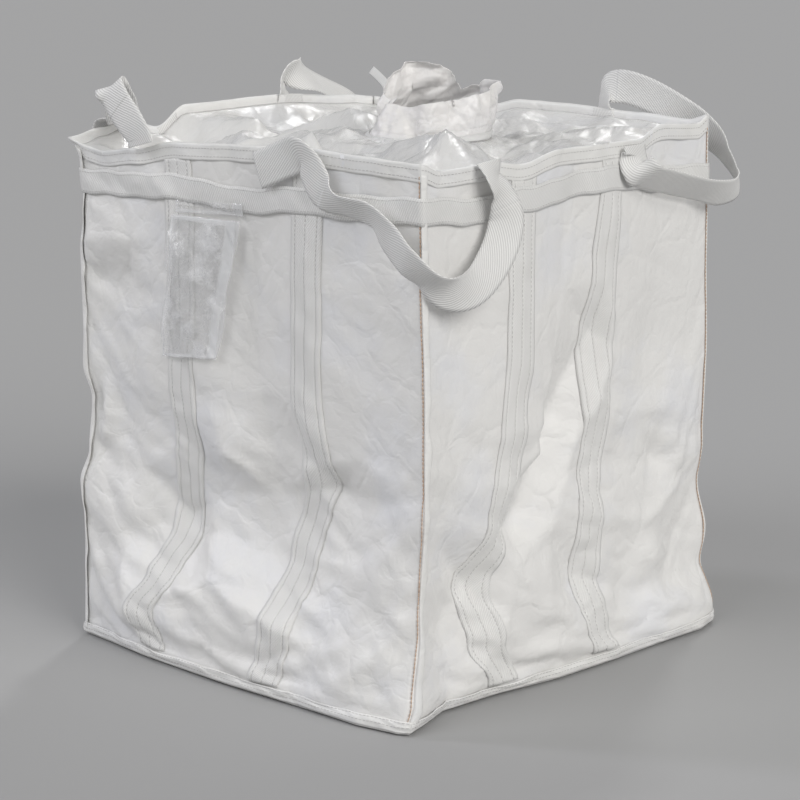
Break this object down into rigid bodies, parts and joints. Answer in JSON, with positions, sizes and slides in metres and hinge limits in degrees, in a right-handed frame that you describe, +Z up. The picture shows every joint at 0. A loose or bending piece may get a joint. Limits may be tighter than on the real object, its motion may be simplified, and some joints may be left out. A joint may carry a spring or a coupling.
{
  "type": "bulk bag",
  "caption": "Square woven bulk bag with baffles, webbing lifting loops, a belt, a filling spout and a clear document pouch, standing open and empty.",
  "frame": {"origin": "centre of the underside of the bottom panel, where the bag stands on the floor", "axes": "+Z up; -Y is the front wall, which carries the document pouch; +X is the right wall"},
  "size_m": [1.0834, 1.0734, 1.214],
  "materials": {
    "woven_fabric": "white woven polypropylene tape fabric, satin, faint plain weave",
    "laminated_fabric": "thin laminated woven polypropylene, glossy, creased",
    "webbing": "white polypropylene webbing, diagonal twill, matt",
    "seam_thread": "tan sewing thread, matt",
    "clear_film": "clear polyethylene film, glossy, crinkled"
  },
  "bodies": {
    "root": {"side_panel_front": "woven_fabric", "side_panel_right": "woven_fabric", "side_panel_back": "woven_fabric", "side_panel_left": "woven_fabric", "bottom_panel": "woven_fabric", "top_panel": "laminated_fabric", "rim_hem_front": "woven_fabric", "rim_hem_right": "woven_fabric", "rim_hem_back": "woven_fabric", "rim_hem_left": "woven_fabric", "bottom_binding_front": "woven_fabric", "bottom_binding_right": "woven_fabric", "bottom_binding_back": "woven_fabric", "bottom_binding_left": "woven_fabric", "reinforcing_strip_front_a": "woven_fabric", "reinforcing_strip_front_b": "woven_fabric", "reinforcing_strip_right_a": "woven_fabric", "reinforcing_strip_right_b": "woven_fabric", "reinforcing_strip_back_a": "woven_fabric", "reinforcing_strip_back_b": "woven_fabric", "reinforcing_strip_left_a": "woven_fabric", "reinforcing_strip_left_b": "woven_fabric", "loop_leg_front_a": "webbing", "loop_leg_front_b": "webbing", "loop_leg_right_a": "webbing", "loop_leg_right_b": "webbing", "loop_leg_back_a": "webbing", "loop_leg_back_b": "webbing", "loop_leg_left_a": "webbing", "loop_leg_left_b": "webbing", "corner_seam_front_right": "seam_thread", "corner_seam_back_right": "seam_thread", "corner_seam_back_left": "seam_thread", "corner_seam_front_left": "seam_thread", "baffle_front_right": "woven_fabric", "baffle_back_right": "woven_fabric", "baffle_back_left": "woven_fabric", "baffle_front_left": "woven_fabric", "horizontal_belt": "webbing", "spout_neck": "laminated_fabric", "spout_tie": "webbing", "pouch_header": "clear_film"},
    "loop_front_right": {"lifting_loop_front_right": "webbing"},
    "loop_back_right": {"lifting_loop_back_right": "webbing"},
    "loop_back_left": {"lifting_loop_back_left": "webbing"},
    "loop_front_left": {"lifting_loop_front_left": "webbing"},
    "spout_mouth": {"spout_mouth": "laminated_fabric"},
    "pouch": {"pouch_back_film": "clear_film", "pouch_front_film": "clear_film"}
  },
  "joints": [
    {"name": "loop_swing_front_right", "type": "hinge", "parent": "root", "child": "loop_front_right", "pos_m": [0.3415, -0.3415, 1.078], "axis": [-0.7071, -0.7071, 0], "range_deg": [0, 140]},
    {"name": "loop_swing_back_right", "type": "hinge", "parent": "root", "child": "loop_back_right", "pos_m": [0.3415, 0.3415, 1.078], "axis": [0.7071, -0.7071, 0], "range_deg": [0, 95]},
    {"name": "loop_swing_back_left", "type": "hinge", "parent": "root", "child": "loop_back_left", "pos_m": [-0.3415, 0.3415, 1.078], "axis": [0.7071, 0.7071, 0], "range_deg": [0, 90]},
    {"name": "loop_swing_front_left", "type": "hinge", "parent": "root", "child": "loop_front_left", "pos_m": [-0.3415, -0.3415, 1.078], "axis": [-0.7071, 0.7071, 0], "range_deg": [0, 55]},
    {"name": "spout_flop", "type": "hinge", "parent": "root", "child": "spout_mouth", "pos_m": [0, 0, 1.106], "axis": [0, 1, 0], "range_deg": [-18, 18]},
    {"name": "pouch_lift", "type": "hinge", "parent": "root", "child": "pouch", "pos_m": [-0.065, -0.4817, 0.9366], "axis": [-1, 0, 0], "range_deg": [0, 100]}
  ]
}
